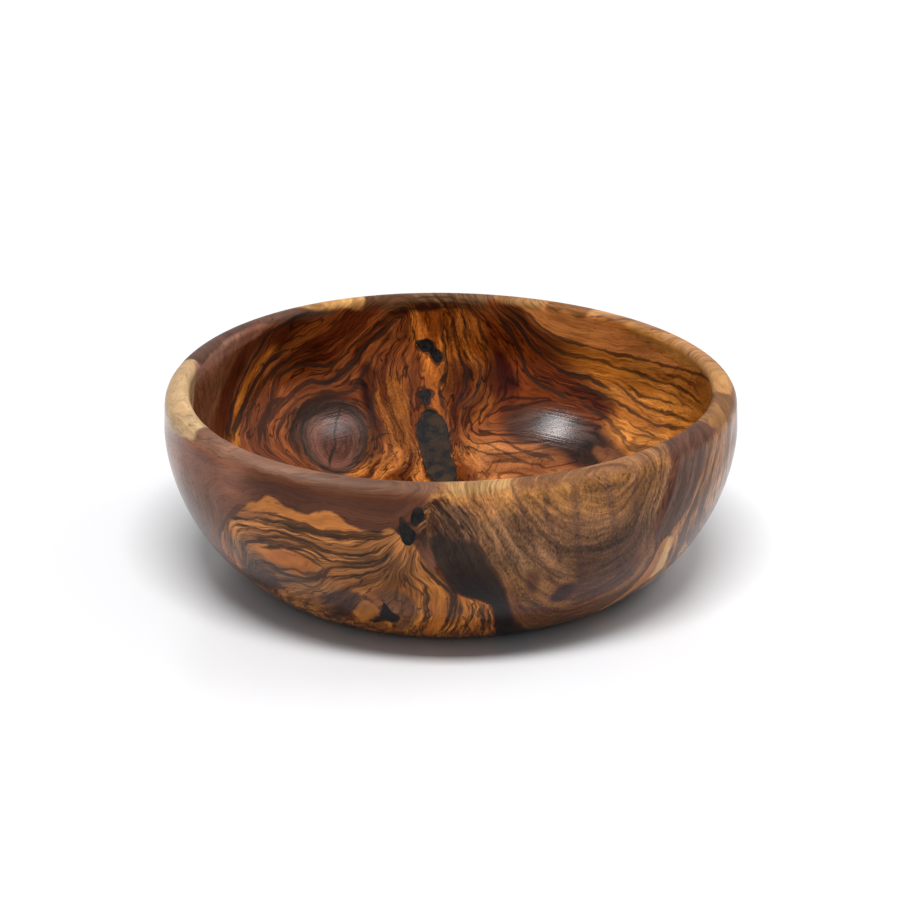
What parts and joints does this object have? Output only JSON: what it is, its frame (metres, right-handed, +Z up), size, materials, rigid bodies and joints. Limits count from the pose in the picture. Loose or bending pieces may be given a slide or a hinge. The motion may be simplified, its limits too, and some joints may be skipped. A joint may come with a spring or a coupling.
{
  "type": "yarn bowl",
  "caption": "Round, thick-walled turned wooden bowl with a flat foot, a full rim with no slot, and dark filler set flush in its natural voids; holds a ball of yarn.",
  "frame": {"origin": "centre of the flat foot that the bowl stands on, at the lowest plane of the bowl", "axes": "+Z up along the bowl's turning axis, from the foot to the mouth; -Y towards the front, the side with the two close filled knots under the rim; +X to the right seen from the front"},
  "size_m": [0.2, 0.2, 0.067],
  "materials": {
    "olive_wood": "oiled satin, strongly figured",
    "knot_filler": "sanded flush, dull satin"
  },
  "bodies": {
    "root": {"bowl_body": "olive_wood", "inner_patch_fill": "knot_filler", "inner_upper_knot_fill": "knot_filler", "inner_middle_knot_fill": "knot_filler", "front_upper_knot_fill": "knot_filler", "front_lower_knot_fill": "knot_filler", "foot_knot_fill": "knot_filler"}
  },
  "joints": []
}
